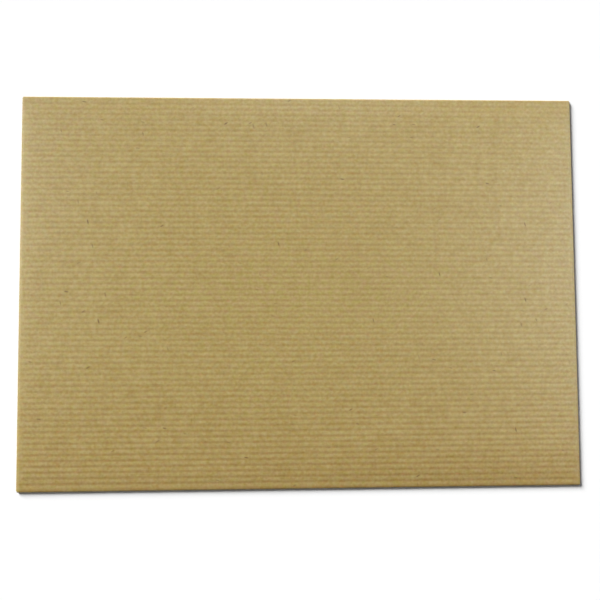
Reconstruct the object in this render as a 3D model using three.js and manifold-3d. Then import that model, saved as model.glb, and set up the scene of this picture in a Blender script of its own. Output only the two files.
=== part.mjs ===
// A C6 kraft envelope, empty and unsealed, lying front face up on a table.
//
// The envelope is one sheet of ribbed kraft paper. Its blank is a cross: the front face with a
// pointed flap beyond each of its four edges. The two side flaps are creased in first, the bottom
// flap is creased over them and glued to them along its diagonals, and the seal flap is creased
// down last and rests on the outside, so it is the lowest layer here.
// +X runs along the bottom edge, +Y points at the seal flap's crease and +Z out of the front face.
import * as THREE from "three";
import { mergeVertices } from "three/addons/utils/BufferGeometryUtils.js";
import Module from "manifold-3d";

// The sheet and the finished envelope, in millimetres.
const width = 162;
const height = 114;
const sheetThickness = 0.15;

// How the layers lie on each other.
const layerGap = 0.03; // air between the seal flap and the flaps that it rests on
const seamPress = 0.01; // how far the glued seams press the two layers into each other
const sideCreaseRadius = 0.19; // of the sheet's middle surface, at the tightest part of the crease

// The front face swells a little, because the creases spring open.
const swellHeight = 0.8;
const swellShare = 0.65; // of the way from a crease to the middle, over which the face rises
const flatBorder = 3; // level strip along each crease before the swell begins
const creaseLip = 2; // part of that strip that each flap's own strip of paper takes in

// The flaps.
const cornerNotch = 0.55; // each flap's crease stops this short of the envelope's corners
const sealFlapDepth = 62;
const sealShoulderDepth = 10;
const sealTipRadius = 14;
const bottomTipOverlap = 20; // how far the bottom flap's tip reaches past the seal flap's tip
const bottomShoulderDepth = 9;
const bottomTipRadius = 12;
const sideTipGap = 11; // from each side flap's tip to the middle line
const sideShoulderDepth = 1.5;
const sideTipRadius = 9;
const shoulderTaper = 0.25; // how much a flap's shoulder narrows for each millimetre of its depth
const tipClearance = 6; // the bottom flap lies level from this far before the seal flap's tip

// How finely the round and swelling parts are faceted.
const creaseSteps = 8;
const tipSteps = 6;
const swellSteps = 9;
const slopeSteps = 8;
const sideFlapColumns = 12;
const shortestStep = 1; // stations closer than this to a turn of the outline are left out

const kraftBrown = 0xb09b67;
const kraftRoughness = 0.88;

// Levels of each layer's middle surface above the table.
const halfThickness = sheetThickness / 2;
const sealLevel = halfThickness;
const bottomFlapTopLevel = sealLevel + sheetThickness + layerGap;
const seamRise = sheetThickness - seamPress;
const faceLevel = bottomFlapTopLevel + seamRise + 2 * sideCreaseRadius;
const widestCreaseRadius = (faceLevel - sealLevel) / 2;
const faceInset = widestCreaseRadius + halfThickness;

// The bottom flap leaves its crease on the table and climbs until it clears the seal flap.
const bottomFlapDepth = height - sealFlapDepth + bottomTipOverlap;
const climbRun = height - sealFlapDepth - tipClearance;

const wasm = await Module();
wasm.setup();

function smoothStep(share) {
  return THREE.MathUtils.smoothstep(share, 0, 1);
}

// The bottom flap's level at a place along the envelope's height.
function bottomFlapLevel(y) {
  const climbed = smoothStep((y + height / 2) / climbRun);
  return THREE.MathUtils.lerp(halfThickness, bottomFlapTopLevel, climbed);
}

// Turns a closed geometry into a solid that can be joined to others.
function toSolid(geometry) {
  geometry.deleteAttribute("normal");
  geometry.deleteAttribute("uv");
  const merged = mergeVertices(geometry);
  const vertProperties = new Float32Array(merged.getAttribute("position").array);
  const triVerts = new Uint32Array(merged.index.array);
  return new wasm.Manifold(new wasm.Mesh({ numProp: 3, vertProperties, triVerts }));
}

function toGeometry(solid) {
  const mesh = solid.getMesh();
  const geometry = new THREE.BufferGeometry();
  geometry.setAttribute("position", new THREE.BufferAttribute(mesh.vertProperties, 3));
  geometry.setIndex(new THREE.BufferAttribute(mesh.triVerts, 1));
  geometry.computeVertexNormals();
  return geometry;
}

// Bends a slab of the sheet's thickness over a grid of stations. The function place gives the
// middle surface's point and normal at a column and a row.
function bentSheet(columns, rows, place) {
  const columnSteps = columns.length - 1;
  const rowSteps = rows.length - 1;
  const geometry = new THREE.BoxGeometry(1, 1, 1, columnSteps, rowSteps, 1);
  const position = geometry.getAttribute("position");
  const corner = new THREE.Vector3();
  for (let i = 0; i < position.count; i += 1) {
    corner.fromBufferAttribute(position, i);
    const column = columns[Math.round((corner.x + 0.5) * columnSteps)];
    const row = rows[Math.round((corner.y + 0.5) * rowSteps)];
    const { point, normal } = place(column, row);
    point.addScaledVector(normal, corner.z * sheetThickness);
    position.setXYZ(i, point.x, point.y, point.z);
  }
  return toSolid(geometry);
}

// Grid lines across the face: its edge, the end of the level border, the swell, the level middle.
function faceStations(halfSize) {
  const swellEnd = (halfSize - flatBorder) * (1 - swellShare);
  const positive = [halfSize - faceInset];
  for (let i = 0; i <= swellSteps; i += 1) {
    positive.push(THREE.MathUtils.lerp(halfSize - flatBorder, swellEnd, i / swellSteps));
  }
  return [...positive.map((x) => -x), ...[...positive].reverse()];
}

// How much of the swell is reached at a distance from the middle line.
function swellAt(distance, halfSize) {
  const riseRun = (halfSize - flatBorder) * swellShare;
  return smoothStep((halfSize - flatBorder - Math.abs(distance)) / riseRun);
}

function frontFace() {
  const up = new THREE.Vector3(0, 0, 1);
  return bentSheet(faceStations(width / 2), faceStations(height / 2), (x, y) => {
    const swell = swellHeight * swellAt(x, width / 2) * swellAt(y, height / 2);
    return { point: new THREE.Vector3(x, y, faceLevel + swell), normal: up };
  });
}

// The outline of a pointed flap, as the half width at each distance from its crease: a shoulder
// that narrows a little, a straight diagonal, and a round tip that the diagonal runs into.
class PointedOutline {
  constructor({ halfSpan, shoulderDepth, depth, tipRadius }) {
    this.halfSpan = halfSpan;
    this.shoulderDepth = shoulderDepth;
    this.shoulderWidth = halfSpan - shoulderDepth * shoulderTaper;
    this.tipRadius = tipRadius;
    this.tipCentre = depth - tipRadius;
    const back = this.shoulderDepth - this.tipCentre;
    const reach = Math.hypot(back, this.shoulderWidth);
    const bearing = Math.atan2(this.shoulderWidth, back);
    this.tangentAngle = bearing - Math.acos(tipRadius / reach);
    this.tangentDepth = this.tipCentre + tipRadius * Math.cos(this.tangentAngle);
    this.tangentWidth = tipRadius * Math.sin(this.tangentAngle);
  }

  halfWidth(depth) {
    const { lerp } = THREE.MathUtils;
    if (depth <= this.shoulderDepth) {
      return lerp(this.halfSpan, this.shoulderWidth, depth / this.shoulderDepth);
    }
    if (depth <= this.tangentDepth) {
      const run = this.tangentDepth - this.shoulderDepth;
      return lerp(this.shoulderWidth, this.tangentWidth, (depth - this.shoulderDepth) / run);
    }
    return Math.sqrt(Math.max(this.tipRadius ** 2 - (depth - this.tipCentre) ** 2, 0));
  }

  // Distances from the crease at which the outline turns, with extra ones where the flap climbs.
  depths(climb = []) {
    const turns = [0, this.shoulderDepth, this.tangentDepth];
    for (let i = tipSteps - 1; i > 0; i -= 1) {
      turns.push(this.tipCentre + this.tipRadius * Math.cos((this.tangentAngle * i) / tipSteps));
    }
    const tip = turns[turns.length - 1];
    const isClear = (depth) => turns.every((turn) => Math.abs(turn - depth) > shortestStep);
    const between = climb.filter((depth) => depth < tip && isClear(depth));
    return [...turns, ...between].sort((a, b) => a - b);
  }
}

// One flap with its crease: a lip inside the face's border, half a turn round the crease, and the
// flap itself, which lies at the level given by levelAt. The direction out points from the middle
// of the face to the crease, and edge is the crease's outermost distance that way.
function creasedFlap({ out, edge, outline, levelAt, columnCount = 1, climb = [] }) {
  const across = new THREE.Vector3(out.y, -out.x, 0);
  const up = new THREE.Vector3(0, 0, 1);
  const columns = Array.from({ length: columnCount + 1 }, (_, i) => (2 * i) / columnCount - 1);
  const rows = [{ stage: "lip" }];
  for (let i = 0; i <= creaseSteps; i += 1) {
    rows.push({ stage: "crease", turn: (Math.PI * i) / creaseSteps });
  }
  for (const depth of outline.depths(climb).slice(1)) {
    rows.push({ stage: "flap", depth });
  }
  return bentSheet(columns, rows, (column, row) => {
    const halfWidth = row.stage === "flap" ? outline.halfWidth(row.depth) : outline.halfSpan;
    const point = across.clone().multiplyScalar(column * halfWidth);
    const onCrease = point.clone().addScaledVector(out, edge);
    const radius = (faceLevel - levelAt(onCrease)) / 2;
    const creaseStart = edge - halfThickness - radius;
    if (row.stage === "lip") {
      point.addScaledVector(out, edge - creaseLip).setZ(faceLevel);
      return { point, normal: up };
    }
    if (row.stage === "crease") {
      const normal = out.clone().multiplyScalar(Math.sin(row.turn)).setZ(Math.cos(row.turn));
      point.addScaledVector(out, creaseStart).setZ(faceLevel - radius);
      return { point: point.addScaledVector(normal, radius), normal };
    }
    point.addScaledVector(out, creaseStart - row.depth);
    point.setZ(levelAt(point));
    return { point, normal: up.clone().negate() };
  });
}

function sealFlap() {
  const outline = new PointedOutline({
    halfSpan: width / 2 - cornerNotch,
    shoulderDepth: sealShoulderDepth,
    depth: sealFlapDepth,
    tipRadius: sealTipRadius,
  });
  const out = new THREE.Vector3(0, 1, 0);
  return creasedFlap({ out, edge: height / 2, outline, levelAt: () => sealLevel });
}

function bottomFlap() {
  const outline = new PointedOutline({
    halfSpan: width / 2 - cornerNotch,
    shoulderDepth: bottomShoulderDepth,
    depth: bottomFlapDepth,
    tipRadius: bottomTipRadius,
  });
  const out = new THREE.Vector3(0, -1, 0);
  const climb = Array.from({ length: slopeSteps }, (_, i) => (climbRun * (i + 1)) / slopeSteps);
  const levelAt = (point) => bottomFlapLevel(point.y);
  return creasedFlap({ out, edge: height / 2, outline, levelAt, climb });
}

function sideFlap(side) {
  const outline = new PointedOutline({
    halfSpan: height / 2 - cornerNotch,
    shoulderDepth: sideShoulderDepth,
    depth: width / 2 - sideTipGap,
    tipRadius: sideTipRadius,
  });
  const out = new THREE.Vector3(side, 0, 0);
  const levelAt = (point) => bottomFlapLevel(point.y) + seamRise;
  return creasedFlap({
    out,
    edge: width / 2,
    outline,
    levelAt,
    columnCount: sideFlapColumns,
  });
}

const folded = [sealFlap(), bottomFlap(), sideFlap(1), sideFlap(-1)].reduce(
  (sheet, flap) => sheet.add(flap),
  frontFace(),
);

const kraft = new THREE.MeshStandardMaterial({
  color: kraftBrown,
  roughness: kraftRoughness,
  metalness: 0,
});
const envelope = new THREE.Mesh(toGeometry(folded), kraft);
envelope.name = "envelope";

const group = new THREE.Group();
group.add(envelope);

export default group;
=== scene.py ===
"""A C6 envelope of ribbed kraft paper, lying front face up on a white table.

The envelope is modelled as the one sheet that it is. The face is laid out flat, its four creases
are rolled over, and each flap is drawn out behind it row by row and settled at its own level. The
face then gets its swell, its ripples and its ribs, and the sheet gets its thickness. The sheet is
in metres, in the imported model's own frame. The finish and the studio are given in millimetres.
"""

import logging
import math
from collections.abc import Callable, Iterable
from dataclasses import dataclass
from enum import Enum

import bmesh
import bpy
from mathutils import Matrix, Quaternion, Vector, noise


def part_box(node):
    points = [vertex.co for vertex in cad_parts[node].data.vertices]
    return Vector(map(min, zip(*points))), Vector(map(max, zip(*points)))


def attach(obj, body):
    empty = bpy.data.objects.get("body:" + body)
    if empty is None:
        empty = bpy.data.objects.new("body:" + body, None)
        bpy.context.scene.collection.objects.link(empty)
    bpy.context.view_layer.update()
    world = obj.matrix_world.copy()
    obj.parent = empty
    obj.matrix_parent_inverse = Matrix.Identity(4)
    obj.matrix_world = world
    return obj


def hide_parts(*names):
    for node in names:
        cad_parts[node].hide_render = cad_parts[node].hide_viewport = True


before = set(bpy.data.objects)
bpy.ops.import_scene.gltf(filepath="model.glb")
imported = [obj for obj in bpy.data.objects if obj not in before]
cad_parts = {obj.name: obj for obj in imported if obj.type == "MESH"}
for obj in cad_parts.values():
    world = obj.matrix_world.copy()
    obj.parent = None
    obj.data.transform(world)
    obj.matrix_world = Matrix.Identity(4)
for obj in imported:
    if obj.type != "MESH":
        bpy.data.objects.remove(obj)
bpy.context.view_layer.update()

MM = 0.001
UP = Vector((0.0, 0.0, 1.0))
MIDDLE = (0.0, 0.0, 0.0)
WHITE = (1.0, 1.0, 1.0, 1.0)
LOG = logging.getLogger("envelope")

Colour = tuple[float, float, float, float]


def smooth_step(share: float) -> float:
    """Ease a share from 0 to 1, level at both ends."""
    held = min(max(share, 0.0), 1.0)
    return held * held * (3.0 - 2.0 * held)


def blend_between(start: float, end: float, share: float) -> float:
    """Return the number that lies a share of the way from start to end."""
    return start + (end - start) * share


class Crease(Enum):
    """The four creases of the blank, each with the direction out of the face towards it."""

    TOP = (0.0, 1.0)
    BOTTOM = (0.0, -1.0)
    RIGHT = (1.0, 0.0)
    LEFT = (-1.0, 0.0)

    @property
    def out(self) -> Vector:
        """The direction from the face's middle to the crease."""
        return Vector((*self.value, 0.0))

    @property
    def is_side(self) -> bool:
        """Whether the crease runs up a short side of the envelope."""
        return self.value[1] == 0.0


@dataclass(frozen=True)
class FlapOutline:
    """The outline of a pointed flap: shoulder, straight diagonal and round tip.

    Args:
        half_span: half the flap's width at its crease.
        shoulder_depth: how far the shoulder reaches from the crease.
        depth: how far the tip reaches from the crease.
        tip_radius: radius of the round tip.
        taper: how much the shoulder narrows for each unit of its depth.
    """

    half_span: float
    shoulder_depth: float
    depth: float
    tip_radius: float
    taper: float = 0.25

    @property
    def shoulder_width(self) -> float:
        """Half the flap's width at the end of its shoulder."""
        return self.half_span - self.shoulder_depth * self.taper

    @property
    def tip_centre(self) -> float:
        """Distance of the round tip's centre from the crease."""
        return self.depth - self.tip_radius

    @property
    def tangent_angle(self) -> float:
        """Angle round the tip at which the diagonal runs into it."""
        back = self.shoulder_depth - self.tip_centre
        reach = math.hypot(back, self.shoulder_width)
        return math.atan2(self.shoulder_width, back) - math.acos(self.tip_radius / reach)

    def half_width(self, depth: float) -> float:
        """Return half the flap's width at a distance from its crease.

        Args:
            depth: the distance from the crease.

        Returns:
            Half the width there.
        """
        tangent_depth = self.tip_centre + self.tip_radius * math.cos(self.tangent_angle)
        tangent_width = self.tip_radius * math.sin(self.tangent_angle)
        if depth <= self.shoulder_depth:
            share = depth / self.shoulder_depth
            return blend_between(self.half_span, self.shoulder_width, share)
        if depth <= tangent_depth:
            share = (depth - self.shoulder_depth) / (tangent_depth - self.shoulder_depth)
            return blend_between(self.shoulder_width, tangent_width, share)
        return math.sqrt(max(self.tip_radius**2 - (depth - self.tip_centre) ** 2, 0.0))

    def rows(self, straight_rows: int, tip_rows: int) -> list[float]:
        """Return the distances from the crease at which the flap gets a row of points.

        Args:
            straight_rows: rows along the diagonal.
            tip_rows: rows round the tip.

        Returns:
            The distances, from the shoulder to the tip.
        """
        angle = self.tangent_angle
        tip = [
            self.tip_centre + self.tip_radius * math.cos(angle * i / tip_rows)
            for i in range(tip_rows, 0, -1)
        ]
        run = tip[0] - self.shoulder_depth
        diagonal = [self.shoulder_depth + run * i / straight_rows for i in range(straight_rows)]
        return [*diagonal, *tip]


@dataclass(frozen=True)
class FoldedSheet:
    """The envelope's one sheet of paper, folded, with its ribs and its thickness.

    Args:
        width: width of the finished envelope, along X.
        height: height of the finished envelope, along Y.
        total_depth: from the table to the top of the swell.
    """

    width: float
    height: float
    total_depth: float

    # The paper, and how its layers lie on each other.
    paper: float = 0.15 * MM
    layer_gap: float = 0.03 * MM
    seam_gap: float = 0.004 * MM
    side_crease_radius: float = 0.19 * MM

    # The flaps.
    seal_depth: float = 62.0 * MM
    seal_shoulder: float = 10.0 * MM
    seal_tip_radius: float = 14.0 * MM
    bottom_overlap: float = 20.0 * MM
    bottom_shoulder: float = 9.0 * MM
    bottom_tip_radius: float = 12.0 * MM
    side_tip_gap: float = 11.0 * MM
    side_shoulder: float = 1.5 * MM
    side_tip_radius: float = 9.0 * MM
    tip_clearance: float = 6.0 * MM

    # The face's swell, the lip along its short sides, its ripples and its ribs.
    swell_powers: tuple[float, float] = (2.6, 2.2)
    lip_width: float = 4.0 * MM
    lip_run: float = 5.0 * MM
    lip_height: float = 0.10 * MM
    ripple_height: float = 0.07 * MM
    ripple_size: float = 38.0 * MM
    rib_pitch: float = 1.6225 * MM
    first_rib: float = 1.48 * MM
    rib_slope: float = 0.0013
    rib_crowding: float = 0.65 * MM
    crowded_run: float = 24.0 * MM
    rib_depth: float = 0.012 * MM
    rib_fade: float = 1.6 * MM

    # How finely the sheet is divided, and how nearly points have to agree.
    face_columns: int = 54
    column_crowding: float = 1.44
    rows_per_rib: int = 6
    crease_rows: int = 8
    long_flap_rows: int = 10
    side_flap_rows: int = 6
    tip_rows: int = 6
    smooth_angle: float = 40.0
    edge_tolerance: float = 0.01 * MM
    level_tolerance: float = 0.001 * MM
    settled_mark: str = "settled"

    @property
    def seal_level(self) -> float:
        """Level of the seal flap, as of each layer here, at the middle of its thickness."""
        return self.paper / 2

    @property
    def bottom_level(self) -> float:
        """Level of the bottom flap where it lies on the seal flap."""
        return self.seal_level + self.paper + self.layer_gap

    @property
    def seam_rise(self) -> float:
        """How far the side flaps lie above the bottom flap."""
        return self.paper + self.seam_gap

    @property
    def face_level(self) -> float:
        """Level of the front face at its creases."""
        return self.bottom_level + self.seam_rise + 2 * self.side_crease_radius

    @property
    def long_crease_radius(self) -> float:
        """Radius of the top and bottom creases."""
        return (self.face_level - self.seal_level) / 2

    @property
    def swell(self) -> float:
        """How far the face rises from its creases to its middle."""
        return self.total_depth - self.face_level - self.paper / 2 - self.lip_height

    @property
    def inset(self) -> float:
        """How far the flat face stops short of the envelope's long edges."""
        return self.long_crease_radius + self.paper / 2

    @property
    def side_inset(self) -> float:
        """How far the flat face stops short of the envelope's short edges."""
        return self.side_crease_radius + self.paper / 2

    @property
    def climb_run(self) -> float:
        """Length over which the bottom flap climbs from the table onto the seal flap."""
        return self.height - self.seal_depth - self.tip_clearance

    @property
    def half_face(self) -> Vector:
        """Half the size of the flat face between its creases."""
        return Vector((self.width / 2 - self.side_inset, self.height / 2 - self.inset, 0.0))

    def build(self) -> bpy.types.Object:
        """Fold the sheet.

        Returns:
            The sheet as one object, with its place in its mesh.
        """
        sheet = self.lay_face()
        for crease in (Crease.TOP, Crease.BOTTOM, Crease.RIGHT, Crease.LEFT):
            self.fold_flap(sheet, crease)
            self.settle_flap(sheet, crease)
        self.turn_faces_out(sheet)
        bpy.ops.object.mode_set(mode="OBJECT")
        sheet.data.attributes.remove(sheet.data.attributes[self.settled_mark])
        self.swell_face(sheet)
        self.give_thickness(sheet)
        return sheet

    def lay_face(self) -> bpy.types.Object:
        """Lay out the front face as a flat grid that is fine enough for its ribs.

        Returns:
            The sheet, in edit mode.
        """
        rows = round(self.height / self.rib_pitch) * self.rows_per_rib
        bpy.ops.object.select_all(action="DESELECT")
        bpy.ops.mesh.primitive_grid_add(
            x_subdivisions=self.face_columns, y_subdivisions=rows, size=1.0
        )
        sheet = bpy.context.object
        sheet.name = sheet.data.name = "kraft_sheet"
        for vertex in sheet.data.vertices:
            bent = math.sin(2 * vertex.co.x * self.column_crowding)
            vertex.co.x = bent / math.sin(self.column_crowding) / 2
        bpy.ops.object.mode_set(mode="EDIT")
        face_size = (self.width - 2 * self.side_inset, self.height - 2 * self.inset, 1.0)
        bpy.ops.transform.resize(value=face_size, center_override=MIDDLE)
        bpy.ops.transform.translate(value=(0.0, 0.0, self.face_level))
        bpy.ops.mesh.select_mode(type="EDGE")
        return sheet

    def fold_flap(self, sheet: bpy.types.Object, crease: Crease) -> None:
        """Roll one crease over and draw its flap out behind the face.

        Args:
            sheet: the sheet, in edit mode.
            crease: the crease to roll.
        """
        out = crease.out
        reach = self.half_face.x if crease.is_side else self.half_face.y
        lowest = self.face_level - self.edge_tolerance
        self.pick_edges(sheet, lambda point: (
            abs(point.dot(out) - reach) < self.edge_tolerance and point.z > lowest
        ))
        hinge = out * reach + UP * (self.face_level - self.crease_radius(crease))
        bpy.ops.mesh.spin(
            steps=self.crease_rows, angle=math.pi, center=hinge, axis=out.cross(UP),
            use_auto_merge=False,
        )
        outline = self.outline(crease)
        straight_rows = self.side_flap_rows if crease.is_side else self.long_flap_rows
        depth = 0.0
        half_width = outline.half_span
        for row in outline.rows(straight_rows, self.tip_rows):
            bpy.ops.mesh.extrude_edges_move(
                TRANSFORM_OT_translate={"value": -out * (row - depth)}
            )
            shrink = outline.half_width(row) / half_width
            bpy.ops.transform.resize(
                value=(1.0, shrink, 1.0) if crease.is_side else (shrink, 1.0, 1.0),
                center_override=MIDDLE,
            )
            half_width = outline.half_width(row)
            depth = row

    def crease_radius(self, crease: Crease) -> float:
        """Return the radius at which a crease is rolled."""
        return self.side_crease_radius if crease.is_side else self.long_crease_radius

    def outline(self, crease: Crease) -> FlapOutline:
        """Return the outline of the flap beyond a crease.

        Args:
            crease: the flap's crease.

        Returns:
            The flap's outline.
        """
        half = self.half_face
        if crease is Crease.TOP:
            return FlapOutline(half.x, self.seal_shoulder, self.seal_depth, self.seal_tip_radius)
        if crease is Crease.BOTTOM:
            depth = self.height - self.seal_depth + self.bottom_overlap
            return FlapOutline(half.x, self.bottom_shoulder, depth, self.bottom_tip_radius)
        depth = self.width / 2 - self.side_tip_gap
        return FlapOutline(half.y, self.side_shoulder, depth, self.side_tip_radius)

    @staticmethod
    def pick_edges(sheet: bpy.types.Object, is_wanted: Callable[[Vector], bool]) -> None:
        """Select only the sheet's open edges whose two ends are both wanted.

        Args:
            sheet: the sheet, in edit mode.
            is_wanted: tells whether a point belongs to the edge that is looked for.
        """
        bpy.ops.mesh.select_all(action="DESELECT")
        shape = bmesh.from_edit_mesh(sheet.data)
        for edge in shape.edges:
            if edge.is_boundary and all(is_wanted(end.co) for end in edge.verts):
                edge.select_set(True)
        shape.select_flush_mode()
        bmesh.update_edit_mesh(sheet.data)

    def settle_flap(self, sheet: bpy.types.Object, crease: Crease) -> None:
        """Move the flap that was drawn out last, and its crease, to the level where it rests.

        Args:
            sheet: the sheet, in edit mode.
            crease: the flap's crease.
        """
        shape = bmesh.from_edit_mesh(sheet.data)
        layers = shape.verts.layers.int
        settled = layers.get(self.settled_mark) or layers.new(self.settled_mark)
        fold = 2 * self.crease_radius(crease)
        for vertex in shape.verts:
            drop = self.face_level - vertex.co.z
            if vertex[settled] or drop < self.level_tolerance:
                continue
            rise = self.face_level - self.layer_level(crease, vertex.co.y)
            vertex.co.z = self.face_level - drop / fold * rise
            vertex[settled] = 1
        bmesh.update_edit_mesh(sheet.data)

    def layer_level(self, crease: Crease, y: float) -> float:
        """Return the level at which a flap rests.

        Args:
            crease: the flap's crease.
            y: the place along the envelope's height.

        Returns:
            The level of the middle of its thickness.
        """
        if crease is Crease.TOP:
            return self.seal_level
        climbed = smooth_step((y + self.height / 2) / self.climb_run)
        level = blend_between(self.seal_level, self.bottom_level, climbed)
        return level + self.seam_rise if crease.is_side else level

    @staticmethod
    def turn_faces_out(sheet: bpy.types.Object) -> None:
        """Point every face away from the inside of the folds, the front face upwards.

        Args:
            sheet: the sheet, in edit mode.
        """
        bpy.ops.mesh.select_all(action="SELECT")
        bpy.ops.mesh.normals_make_consistent(inside=False)
        shape = bmesh.from_edit_mesh(sheet.data)
        top = max(shape.faces, key=lambda face: face.calc_center_median().z)
        if top.normal.z < 0.0:
            bpy.ops.mesh.flip_normals()

    def swell_face(self, sheet: bpy.types.Object) -> None:
        """Raise the flat face to its finished form.

        Args:
            sheet: the folded sheet, in object mode.
        """
        face_level = self.face_level
        for vertex in sheet.data.vertices:
            if face_level - vertex.co.z < self.level_tolerance:
                vertex.co.z += self.face_lift(vertex.co)

    def face_lift(self, point: Vector) -> float:
        """Return how far the face rises at a point: its swell, its lip, its ripples and ribs.

        Args:
            point: a point of the flat face.

        Returns:
            The rise above the flat face.
        """
        half = Vector((self.width / 2, self.height / 2))
        swell = 1.0
        for place, reach, power in zip(point.xy, half, self.swell_powers):
            swell *= 1.0 - min(abs(place) / reach, 1.0) ** power
        side_room = half.x - abs(point.x)
        inside = (side_room - self.side_inset) / self.lip_width
        lip = (1.0 - max(1.0 - inside, 0.0) ** 2) * self.lip_height
        lip *= smooth_step((half.y - abs(point.y) - self.inset) / self.lip_run)
        ripple = noise.noise(point / self.ripple_size) * self.ripple_height
        below_top = half.y - point.y
        crowding = self.rib_crowding * (1.0 - smooth_step(below_top / self.crowded_run))
        line = below_top - self.first_rib - self.rib_slope * point.x - crowding
        wave = 0.5 + 0.5 * math.cos(2 * math.pi * line / self.rib_pitch)
        room = min(side_room, half.y - abs(point.y)) - self.inset
        fade = smooth_step(room / self.rib_fade)
        return (self.swell + ripple) * swell + lip - self.rib_depth * wave * fade

    def give_thickness(self, sheet: bpy.types.Object) -> None:
        """Give the folded sheet its paper's thickness and smooth its shading.

        Args:
            sheet: the folded sheet, in object mode.
        """
        solid = sheet.modifiers.new("paper", "SOLIDIFY")
        solid.thickness = self.paper
        solid.offset = 0.0
        solid.use_even_offset = False
        bpy.ops.object.modifier_apply(modifier=solid.name)
        bpy.ops.object.shade_smooth_by_angle(angle=math.radians(self.smooth_angle))


@dataclass(frozen=True)
class Rise:
    """A smooth rise from 0, where a value reaches start, to height, where it reaches end."""

    start: float
    end: float
    height: float = 1.0


@dataclass(frozen=True)
class Wire:
    """A shader socket, on which Python's operators add Math nodes."""

    board: "ShaderBoard"
    socket: bpy.types.NodeSocket

    def __add__(self, other: "Wire | float") -> "Wire":
        """Add a value."""
        return self.board.maths("ADD", self, other)

    __radd__ = __add__

    def __sub__(self, other: "Wire | float") -> "Wire":
        """Take a value away."""
        return self.board.maths("SUBTRACT", self, other)

    def __rsub__(self, other: float) -> "Wire":
        """Take this away from a value."""
        return self.board.maths("SUBTRACT", other, self)

    def __mul__(self, other: "Wire | float") -> "Wire":
        """Multiply by a value."""
        return self.board.maths("MULTIPLY", self, other)

    __rmul__ = __mul__

    def cosine(self) -> "Wire":
        """Take the cosine."""
        return self.board.maths("COSINE", self)

    def size(self) -> "Wire":
        """Take the absolute value."""
        return self.board.maths("ABSOLUTE", self)

    def larger(self, other: "Wire | float") -> "Wire":
        """Take the larger of this and another value."""
        return self.board.maths("MAXIMUM", self, other)

    def along(self, rise: Rise) -> "Wire":
        """Read a smooth rise at this value.

        Args:
            rise: the rise, whose start may be the larger of its two ends.

        Returns:
            The rise's height at this value.
        """
        settings = {"interpolation_type": "SMOOTHSTEP"}
        values = {
            "Value": self, "From Min": rise.start, "From Max": rise.end, "To Max": rise.height,
        }
        return self.board.node("ShaderNodeMapRange", settings, values).out("Result")


@dataclass(frozen=True)
class Block:
    """A shader node, whose outputs are read by name."""

    board: "ShaderBoard"
    node: bpy.types.Node

    def out(self, name: str | int) -> Wire:
        """Return one of the node's outputs."""
        return Wire(self.board, self.node.outputs[name])


@dataclass(frozen=True)
class ShaderBoard:
    """The node board of a material or of the world, empty at the start.

    Args:
        owner: the material or the world.
    """

    owner: bpy.types.Material | bpy.types.World

    def __post_init__(self) -> None:
        """Switch the board on and empty it."""
        self.owner.use_nodes = True
        self.owner.node_tree.nodes.clear()

    def node(
        self,
        kind: str,
        settings: dict[str, object] | None = None,
        values: dict[str | int, object] | None = None,
    ) -> Block:
        """Add one node, set it up, and then wire its inputs.

        Args:
            kind: the node's type.
            settings: attributes of the node, set first.
            values: its inputs, each a Wire to link or a constant.

        Returns:
            The node.
        """
        tree = self.owner.node_tree
        made = tree.nodes.new(kind)
        for key, setting in (settings or {}).items():
            setattr(made, key, setting)
        for key, value in (values or {}).items():
            if isinstance(value, Wire):
                tree.links.new(value.socket, made.inputs[key])
            else:
                made.inputs[key].default_value = value
        return Block(self, made)

    def maths(self, operation: str, *values: Wire | float) -> Wire:
        """Add one Math node and return its result."""
        settings = {"operation": operation}
        return self.node("ShaderNodeMath", settings, dict(enumerate(values))).out(0)

    def vector(self, operation: str, *values: object) -> Wire:
        """Add one Vector Math node and return its result."""
        settings = {"operation": operation}
        return self.node("ShaderNodeVectorMath", settings, dict(enumerate(values))).out(0)

    def mix(self, share: Wire, first: object, second: object) -> Wire:
        """Mix two colours.

        Args:
            share: how much of the second colour shows.
            first: the first colour.
            second: the second colour.

        Returns:
            The mixed colour.
        """
        settings = {"data_type": "RGBA", "clamp_factor": True}
        values = {"Factor": share, 6: first, 7: second}
        return self.node("ShaderNodeMix", settings, values).out(2)


@dataclass(frozen=True)
class Grain:
    """A noise on the paper, centred on 0.

    Args:
        size: the size of its grains, in millimetres.
        stretch: how much longer they are along X and along Y.
        strength: its range from lowest to highest, roughly.
        detail: how many finer noises it carries.
    """

    size: float
    stretch: tuple[float, float] = (1.0, 1.0)
    strength: float = 1.0
    detail: float = 2.0


@dataclass(frozen=True)
class Fibres:
    """One scattering of short dark fibres.

    Args:
        turn: the angle at which they lie, in radians.
        spacing: how far apart they can lie, in millimetres.
    """

    turn: float
    spacing: float


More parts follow.
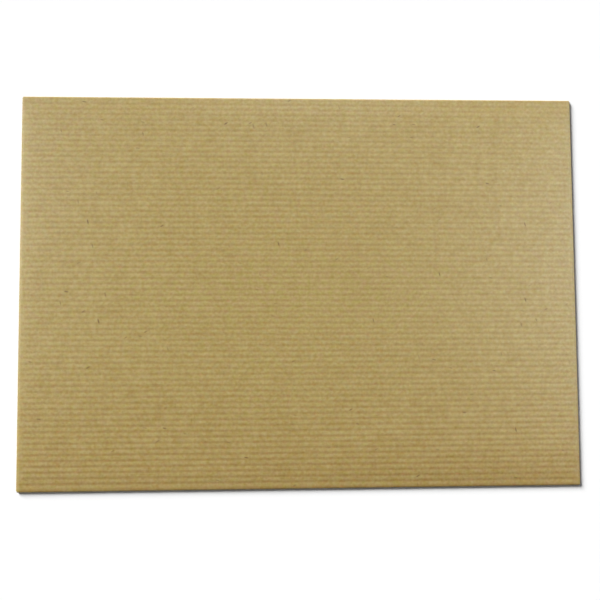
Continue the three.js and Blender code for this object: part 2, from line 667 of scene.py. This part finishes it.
@dataclass(frozen=True)
class RibbedKraft:
    """The finish of matt ribbed kraft paper: ribs, mottled grain and loose dark fibres, with
    painted shade lower down.

    Args:
        sheet: the sheet, whose ribs the lines follow.
    """

    sheet: FoldedSheet

    band: Colour = (0.381, 0.2865, 0.0995, 1.0)
    line: Colour = (0.270, 0.1730, 0.0455, 1.0)
    fibre: Colour = (0.150, 0.085, 0.032, 1.0)
    rust: Colour = (0.385, 0.205, 0.062, 1.0)
    roughness: float = 0.46
    specular: float = 0.5

    # The dark lines between the ribs, which are fainter at the edges. Two gains darken them
    # further down the face: painted shade of the ribs' relief under the low light from the top.
    wander: Grain = Grain(1.4, (8.0, 1.0), 0.22)
    dash: Grain = Grain(0.6, (9.0, 1.0), 1.5)
    line_shape: Rise = Rise(-0.75, 1.35)
    side_fade: Rise = Rise(0.3, 2.4)
    top_fade: Rise = Rise(0.2, 1.2)
    edge_share: float = 0.25
    line_share: float = 0.352
    upper_rib_shade: Rise = Rise(0.0, 30.0, 0.083)
    lower_rib_shade: Rise = Rise(72.0, 125.0, 0.230)

    # The reddish flecks in the lines.
    fleck: Grain = Grain(0.6, (1.8, 1.0))
    fleck_shape: Rise = Rise(0.08, 0.26, 1.4)

    # The mottling, and the painted shade lower down. The gains are for red, green and blue.
    fine: Grain = Grain(0.85, strength=0.56, detail=1.0)
    patches: Grain = Grain(3.2, strength=0.22)
    streaks: Grain = Grain(1.6, (1.0, 14.0), 0.10)
    tone_gains: tuple[float, float, float] = (0.74, 1.0, 1.75)
    warmth: Grain = Grain(1.3, (1.2, 1.0))
    warmth_gains: tuple[float, float] = (0.14, 0.17)
    chalk: Grain = Grain(1.4, (1.1, 1.0), 0.75)
    # Painted shade along the bottom edge, stronger towards the right.
    bottom_shade_down: Rise = Rise(-41.0, -56.0)
    bottom_shade_across: Rise = Rise(-70.0, 75.0, 0.11)
    # Painted shade over the lower half, darker and warmer further down.
    lower_shade_down: Rise = Rise(-10.0, -58.0, 0.02)

    # The loose fibres.
    scatterings: tuple[Fibres, ...] = (Fibres(0.2, 6.0), Fibres(1.3, 7.0), Fibres(2.6, 6.4))
    fibre_slimness: float = 0.32
    fibre_choice: Rise = Rise(0.74, 0.86)
    fibre_shape: Rise = Rise(0.14, 0.05, 0.85)

    # The paper's tooth.
    tooth: Grain = Grain(0.6, (1.3, 1.0))
    tooth_height: float = 0.5
    tooth_gloss: float = 0.06
    line_depth: float = 0.63
    fibre_depth: float = 0.2
    bump_strength: float = 0.35
    bump_distance: float = 0.03 * MM

    def material(self) -> bpy.types.Material:
        """Make the paper's material.

        Returns:
            The material, on Object coordinates.
        """
        board = ShaderBoard(bpy.data.materials.new("ribbed_kraft"))
        scale = (1.0 / MM, 1.0 / MM, 1.0 / MM)
        place = board.vector("MULTIPLY", board.node("ShaderNodeTexCoord").out("Object"), scale)
        axes = board.node("ShaderNodeSeparateXYZ", {}, {"Vector": place})
        across, up = axes.out("X"), axes.out("Y")
        line = self.rib_lines(place, across, up)
        colour = board.mix(line, self.band, self.line)
        flecks = self.grain(place, self.fleck).along(self.fleck_shape)
        colour = board.mix(flecks * line, colour, self.rust)
        colour = board.vector("MULTIPLY", colour, self.mottle(place, across, up))
        fibres = self.fibres(place)
        colour = board.mix(fibres, colour, self.fibre)
        tooth = self.grain(place, self.tooth)
        height = tooth * self.tooth_height - line * self.line_depth - fibres * self.fibre_depth
        bump = board.node("ShaderNodeBump", {}, {
            "Strength": self.bump_strength, "Distance": self.bump_distance, "Height": height,
        })
        surface = board.node("ShaderNodeBsdfPrincipled", {}, {
            "Base Color": colour,
            "Roughness": tooth * self.tooth_gloss + self.roughness,
            "Normal": bump.out("Normal"),
            "Specular IOR Level": self.specular,
        })
        board.node("ShaderNodeOutputMaterial", {}, {"Surface": surface.out("BSDF")})
        return board.owner

    @staticmethod
    def squeeze(place: Wire, stretch: tuple[float, float]) -> Wire:
        """Squeeze coordinates, so that a texture on them comes out stretched.

        Args:
            place: the coordinates.
            stretch: how much longer the texture is along X and along Y.

        Returns:
            The squeezed coordinates.
        """
        return place.board.vector("MULTIPLY", place, (1.0 / stretch[0], 1.0 / stretch[1], 1.0))

    def grain(self, place: Wire, grain: Grain) -> Wire:
        """Add a noise over the paper.

        Args:
            place: coordinates in millimetres.
            grain: the noise.

        Returns:
            The noise at each place.
        """
        cloud = place.board.node("ShaderNodeTexNoise", {}, {
            "Vector": self.squeeze(place, grain.stretch),
            "Scale": 1.0 / grain.size,
            "Detail": grain.detail,
        })
        return (cloud.out("Fac") - 0.5) * grain.strength

    def rib_lines(self, place: Wire, across: Wire, up: Wire) -> Wire:
        """Draw the ribs' dark lines, broken into dashes, with painted shade that darkens them
        further down.

        Args:
            place: coordinates in millimetres.
            across: the first of them.
            up: the second of them.

        Returns:
            How dark the line is at each place.
        """
        sheet = self.sheet
        below_top = sheet.height / 2 / MM - up
        crowding = below_top.along(Rise(sheet.crowded_run / MM, 0.0, sheet.rib_crowding / MM))
        run = below_top - sheet.first_rib / MM - across * sheet.rib_slope - crowding
        run = run + self.grain(place, self.wander)
        wave = (run * (2 * math.pi * MM / sheet.rib_pitch)).cosine()
        line = (wave + self.grain(place, self.dash)).along(self.line_shape)
        side_room = sheet.width / 2 / MM - across.size()
        fade = side_room.along(self.side_fade) * below_top.along(self.top_fade)
        # The gain is painted shade of the ribs: the lines grow darker further down the face.
        gain = below_top.along(self.upper_rib_shade) + below_top.along(self.lower_rib_shade)
        return line * (fade * (1.0 - self.edge_share) + self.edge_share) * (gain + self.line_share)

    def mottle(self, place: Wire, across: Wire, up: Wire) -> Wire:
        """Make the soft patches, streaks and fine grain, and darken the paper lower down with
        painted shade, warmer over the lower half and darker still at the bottom right.

        Args:
            place: coordinates in millimetres.
            across: the first of them.
            up: the second of them.

        Returns:
            A tint to multiply the clean colour by.
        """
        # Painted shade: darker along the bottom, most towards the right, and darker and warmer
        # over the lower half.
        bottom_shade = up.along(self.bottom_shade_down) * across.along(self.bottom_shade_across)
        lower_shade = up.along(self.lower_shade_down)
        tone = self.grain(place, self.fine) + self.grain(place, self.patches)
        tone = tone + self.grain(place, self.streaks) - bottom_shade - lower_shade
        red, green, blue = (tone * gain + 1.0 for gain in self.tone_gains)
        warmth = self.grain(place, self.warmth)
        red_gain, green_gain = self.warmth_gains
        tint = place.board.node("ShaderNodeCombineXYZ", {}, {
            "X": red + warmth * red_gain,
            "Y": green - warmth * green_gain - lower_shade,
            "Z": blue + self.grain(place, self.chalk),
        })
        return tint.out("Vector")

    def fibres(self, place: Wire) -> Wire:
        """Scatter short dark fibres at several angles.

        Args:
            place: coordinates in millimetres.

        Returns:
            How much of a fibre shows at each place.
        """
        marks = [self.scatter(place, fibres) for fibres in self.scatterings]
        total = marks[0]
        for mark in marks[1:]:
            total = total.larger(mark)
        return total

    def scatter(self, place: Wire, fibres: Fibres) -> Wire:
        """Scatter the fibres that lie at one angle.

        Args:
            place: coordinates in millimetres.
            fibres: the angle and the spacing.

        Returns:
            How much of a fibre shows at each place.
        """
        board = place.board
        turned = board.node("ShaderNodeVectorRotate", {"rotation_type": "Z_AXIS"}, {
            "Vector": place, "Angle": fibres.turn,
        })
        cells = board.node("ShaderNodeTexVoronoi", {}, {
            "Vector": self.squeeze(turned.out("Vector"), (1.0, self.fibre_slimness)),
            "Scale": 1.0 / fibres.spacing,
            "Randomness": 1.0,
        })
        chance = board.node("ShaderNodeSeparateColor", {}, {"Color": cells.out("Color")})
        picked = chance.out("Red").along(self.fibre_choice)
        return cells.out("Distance").along(self.fibre_shape) * picked * chance.out("Green")


@dataclass(frozen=True)
class Reflector:
    """A bright panel beside the envelope, in millimetres, that faces its middle.

    Args:
        name: the side on which it stands.
        place: its middle.
        width: its size along the table.
        height: its size across that.
        strength: its power in watts.
        colour: the colour of its light.
    """

    name: str
    place: tuple[float, float, float]
    width: float
    height: float
    strength: float
    colour: tuple[float, float, float]


@dataclass(frozen=True)
class Studio:
    """The white table, the camera above it and the lights round it, in millimetres.

    The camera's roll and the key light's angle are in degrees, and the key light's strength is in
    watts for each square metre. The dome is white to the camera and far dimmer to the scene.
    """

    camera_place: tuple[float, float, float] = (-10.705, -17.795, 232.76)
    camera_aim: tuple[float, float, float] = (-0.402, -2.705, 0.43)
    camera_roll: float = 34.056
    lens: float = 48.0
    sensor_width: float = 36.0
    nearest: float = 10.0
    farthest: float = 100000.0
    table_size: float = 6000.0
    table_colour: Colour = (0.90, 0.90, 0.90, 1.0)
    table_roughness: float = 0.9
    table_specular: float = 0.1
    key_direction: tuple[float, float, float] = (-0.616, 0.649, 0.446)
    key_strength: float = 6.95
    key_angle: float = 32.0
    dome_strength: float = 0.144
    backdrop_strength: float = 1.0
    reflectors: tuple[Reflector, ...] = (
        Reflector("right", (187.0, 36.0, 155.0), 180.0, 120.0, 0.38, (0.76, 0.84, 1.0)),
        Reflector("left", (-230.0, 75.0, 190.0), 220.0, 90.0, 0.58, (0.92, 0.95, 1.0)),
        Reflector("top", (20.0, 240.0, 220.0), 70.0, 70.0, 0.38, (0.80, 0.86, 1.0)),
    )

    def set_up(self) -> None:
        """Put the camera, the table and the lights in place."""
        self.place_camera()
        self.lay_table()
        self.hang_key()
        self.stand_reflectors()
        self.raise_dome()

    def place_camera(self) -> None:
        """Put the camera nearly straight above the envelope, turned as the photo is."""
        camera = bpy.data.objects.new("camera", bpy.data.cameras.new("camera"))
        bpy.context.scene.collection.objects.link(camera)
        place, aim = Vector(self.camera_place) * MM, Vector(self.camera_aim) * MM
        look = (aim - place).to_track_quat("-Z", "Y")
        roll = Quaternion(UP, math.radians(self.camera_roll))
        camera.matrix_world = Matrix.Translation(place) @ (look @ roll).to_matrix().to_4x4()
        camera.data.lens = self.lens
        camera.data.sensor_width = self.sensor_width
        camera.data.clip_start = self.nearest * MM
        camera.data.clip_end = self.farthest * MM
        bpy.context.scene.camera = camera

    def lay_table(self) -> None:
        """Lay the plain white table under the envelope."""
        bpy.ops.object.select_all(action="DESELECT")
        bpy.ops.mesh.primitive_plane_add(size=self.table_size * MM, location=MIDDLE)
        table = bpy.context.object
        table.name = "table"
        board = ShaderBoard(bpy.data.materials.new("table_white"))
        surface = board.node("ShaderNodeBsdfPrincipled", {}, {
            "Base Color": self.table_colour,
            "Roughness": self.table_roughness,
            "Specular IOR Level": self.table_specular,
        })
        board.node("ShaderNodeOutputMaterial", {}, {"Surface": surface.out("BSDF")})
        table.data.materials.append(board.owner)

    @staticmethod
    def hang(lamp: bpy.types.Light, source: Vector) -> bpy.types.Object:
        """Hang a lamp in the scene, so that it shines at the envelope's middle.

        Args:
            lamp: the lamp.
            source: where it hangs.

        Returns:
            The lamp's object.
        """
        light = bpy.data.objects.new(lamp.name, lamp)
        bpy.context.scene.collection.objects.link(light)
        light.location = source
        light.rotation_mode = "QUATERNION"
        light.rotation_quaternion = source.to_track_quat("Z", "Y")
        return light

    def hang_key(self) -> None:
        """Hang the main light low beyond the envelope's top left corner, without a highlight."""
        sun = bpy.data.lights.new("key", "SUN")
        sun.energy = self.key_strength
        sun.angle = math.radians(self.key_angle)
        self.hang(sun, Vector(self.key_direction)).visible_glossy = False

    def stand_reflectors(self) -> None:
        """Stand the reflectors round the envelope, where they show only as sheen on it."""
        for panel in self.reflectors:
            lamp = bpy.data.lights.new(f"reflector_{panel.name}", "AREA")
            lamp.shape = "RECTANGLE"
            lamp.size, lamp.size_y = panel.width * MM, panel.height * MM
            lamp.energy = panel.strength
            lamp.color = panel.colour
            light = self.hang(lamp, Vector(panel.place) * MM)
            light.visible_diffuse = False
            light.visible_camera = False

    def raise_dome(self) -> None:
        """Light the whole scene faintly from all round, before a white background."""
        world = bpy.data.worlds.new("dome")
        bpy.context.scene.world = world
        board = ShaderBoard(world)
        strength = board.node("ShaderNodeMapRange", {}, {
            "Value": board.node("ShaderNodeLightPath").out("Is Camera Ray"),
            "To Min": self.dome_strength,
            "To Max": self.backdrop_strength,
        })
        background = board.node("ShaderNodeBackground", {}, {
            "Color": WHITE, "Strength": strength.out("Result"),
        })
        board.node("ShaderNodeOutputWorld", {}, {"Surface": background.out("Background")})


def report(pieces: Iterable[bpy.types.Object]) -> None:
    """Log each finished piece with its number of triangles.

    Args:
        pieces: the finished pieces.
    """
    for piece in pieces:
        piece.data.calc_loop_triangles()
        LOG.info("%s: %d triangles", piece.name, len(piece.data.loop_triangles))


def main() -> None:
    """Build the studio and the envelope."""
    logging.basicConfig(level=logging.INFO, format="%(name)s %(message)s")
    bpy.context.scene.view_settings.view_transform = "Standard"
    bpy.ops.object.select_all(action="DESELECT")
    Studio().set_up()
    low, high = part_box("envelope")
    size = high - low
    sheet = FoldedSheet(width=size.x, height=size.y, total_depth=size.z)
    envelope = sheet.build()
    envelope.data.materials.append(RibbedKraft(sheet).material())
    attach(envelope, "root")
    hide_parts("envelope")
    report([envelope])


if __name__ == "__main__":
    main()
